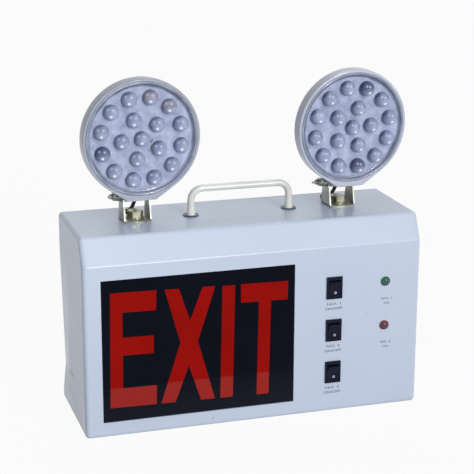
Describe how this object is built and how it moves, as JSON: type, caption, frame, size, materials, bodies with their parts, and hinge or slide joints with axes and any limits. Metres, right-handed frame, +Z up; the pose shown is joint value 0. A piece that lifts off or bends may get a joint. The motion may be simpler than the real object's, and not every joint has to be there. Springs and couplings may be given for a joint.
{
  "type": "emergency exit light",
  "caption": "Twin-head emergency exit light: bent sheet steel box with a lit exit sign, rocker switches and indicators, a carrying handle and two round lamp heads that swivel and tilt",
  "frame": {"origin": "centre of the box's footprint, on the surface that it stands on", "axes": "+X to the viewer's right as one faces the sign, -Y is the sign face, +Z is up"},
  "size_m": [0.32, 0.1103, 0.3191],
  "materials": {
    "box_paint": "bluish white powder coat, slightly glossy",
    "sign_black": "glossy black acrylic sheet",
    "white_plastic": "white light-spreading plastic",
    "zinc_steel": "plain zinc plated steel",
    "yellow_zinc": "yellow chromate zinc plate",
    "switch_black": "blue-black moulded plastic",
    "brass_tab": "bare brass",
    "green_lens": "green tinted moulding",
    "red_lens": "dark red tinted moulding",
    "black_rubber": "matte black rubber",
    "handle_cream": "cream lacquer",
    "dark_washer": "blackened steel",
    "lamp_plastic": "white moulded plastic",
    "board_white": "white solder mask with a lilac cast",
    "clear_cap": "clear moulded plastic",
    "lead_black": "black rubber cable sheath",
    "battery_case": "black moulded case",
    "core_steel": "varnished laminations",
    "coil_tape": "amber winding tape",
    "board_green": "green circuit board"
  },
  "bodies": {
    "housing": {"front_cover": "box_paint", "rear_cover": "box_paint", "cover_screws": "zinc_steel", "mains_grommet": "black_rubber", "sign_panel": "sign_black", "sign_diffuser": "white_plastic", "sign_tray": "zinc_steel", "sign_led_strips": "white_plastic", "sign_nuts": "zinc_steel", "switch_1_body": "switch_black", "switch_2_body": "switch_black", "switch_3_body": "switch_black", "switch_terminals": "brass_tab", "green_indicator": "green_lens", "red_indicator": "red_lens", "indicator_rings": "white_plastic", "handle": "handle_cream", "handle_washers": "dark_washer", "handle_nuts": "zinc_steel", "base_bolts": "yellow_zinc", "base_washers": "yellow_zinc", "base_nuts": "zinc_steel", "lead_grommets": "black_rubber", "battery": "battery_case", "battery_strap": "zinc_steel", "transformer_core": "core_steel", "transformer_coil": "coil_tape", "floor_nuts": "zinc_steel", "charger_board": "board_green", "board_spacers": "white_plastic", "board_screws": "zinc_steel", "left_lamp_lead": "lead_black", "right_lamp_lead": "lead_black"},
    "left_fork": {"left_bracket": "yellow_zinc", "left_pivot_bolt": "zinc_steel", "left_pivot_washer": "zinc_steel"},
    "left_head": {"left_lamp_housing": "lamp_plastic", "left_lamp_board": "board_white", "left_lens_cap": "clear_cap"},
    "left_wing_nut": {"left_wing_nut": "yellow_zinc"},
    "right_fork": {"right_bracket": "yellow_zinc", "right_pivot_bolt": "zinc_steel", "right_pivot_washer": "zinc_steel"},
    "right_head": {"right_lamp_housing": "lamp_plastic", "right_lamp_board": "board_white", "right_lens_cap": "clear_cap"},
    "right_wing_nut": {"right_wing_nut": "yellow_zinc"},
    "switch_1": {"switch_1_rocker": "switch_black"},
    "switch_2": {"switch_2_rocker": "switch_black"},
    "switch_3": {"switch_3_rocker": "switch_black"}
  },
  "joints": [
    {"name": "left_swivel", "type": "hinge", "parent": "housing", "child": "left_fork", "pos_m": [-0.0978, 0.008, 0.185], "axis": [0, 0, 1], "range_deg": [-30, 30], "deforming": ["left_lamp_lead"]},
    {"name": "left_tilt", "type": "hinge", "parent": "left_fork", "child": "left_head", "pos_m": [-0.0978, 0.008, 0.208], "axis": [0.999, 0.0454, 0], "range_deg": [-60, 40], "deforming": ["left_lamp_lead"]},
    {"name": "left_wing_nut_turn", "type": "hinge", "parent": "left_fork", "child": "left_wing_nut", "pos_m": [-0.0978, 0.008, 0.208], "axis": [0.999, 0.0454, 0], "continuous": true},
    {"name": "right_swivel", "type": "hinge", "parent": "housing", "child": "right_fork", "pos_m": [0.0998, 0.008, 0.185], "axis": [0, 0, 1], "range_deg": [-30, 30], "deforming": ["right_lamp_lead"]},
    {"name": "right_tilt", "type": "hinge", "parent": "right_fork", "child": "right_head", "pos_m": [0.0998, 0.008, 0.208], "axis": [0.9973, 0.0732, 0], "range_deg": [-60, 40], "deforming": ["right_lamp_lead"]},
    {"name": "right_wing_nut_turn", "type": "hinge", "parent": "right_fork", "child": "right_wing_nut", "pos_m": [0.0998, 0.008, 0.208], "axis": [0.9973, 0.0732, 0], "continuous": true},
    {"name": "switch_1_rock", "type": "hinge", "parent": "housing", "child": "switch_1", "pos_m": [0.0746, -0.051, 0.1221], "axis": [-1, 0, 0], "range_deg": [0, 20]},
    {"name": "switch_2_rock", "type": "hinge", "parent": "housing", "child": "switch_2", "pos_m": [0.0746, -0.051, 0.0809], "axis": [-1, 0, 0], "range_deg": [0, 20]},
    {"name": "switch_3_rock", "type": "hinge", "parent": "housing", "child": "switch_3", "pos_m": [0.0746, -0.051, 0.0397], "axis": [-1, 0, 0], "range_deg": [0, 20]}
  ]
}
